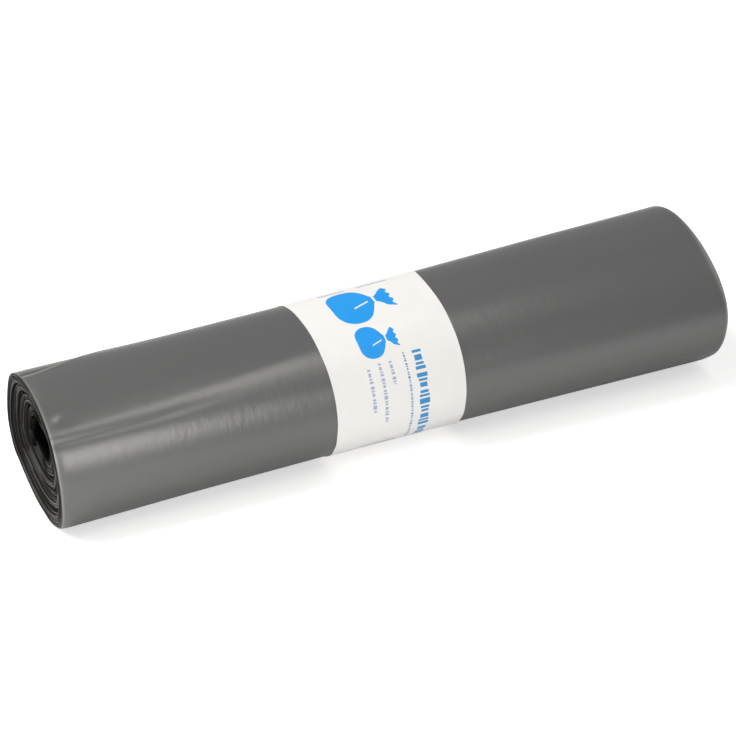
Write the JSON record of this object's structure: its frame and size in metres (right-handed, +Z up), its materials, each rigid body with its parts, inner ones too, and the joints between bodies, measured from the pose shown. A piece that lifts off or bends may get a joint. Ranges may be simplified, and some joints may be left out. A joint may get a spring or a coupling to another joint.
{
  "type": "bin bag roll",
  "caption": "Soft roll of grey plastic bin bags, wound without a core, its ends open and dished, held by a printed paper band.",
  "frame": {"origin": "on the table under the middle of the roll, at the bottom centre of its box", "axes": "+X along the roll from the smaller, dished end to the fuller end, +Y to the far side, +Z up"},
  "size_m": [0.4, 0.1031, 0.0845],
  "materials": {
    "film": "satin",
    "paper": "matte"
  },
  "bodies": {
    "root": {"bag_roll": "film", "paper_band": "paper"}
  },
  "joints": []
}
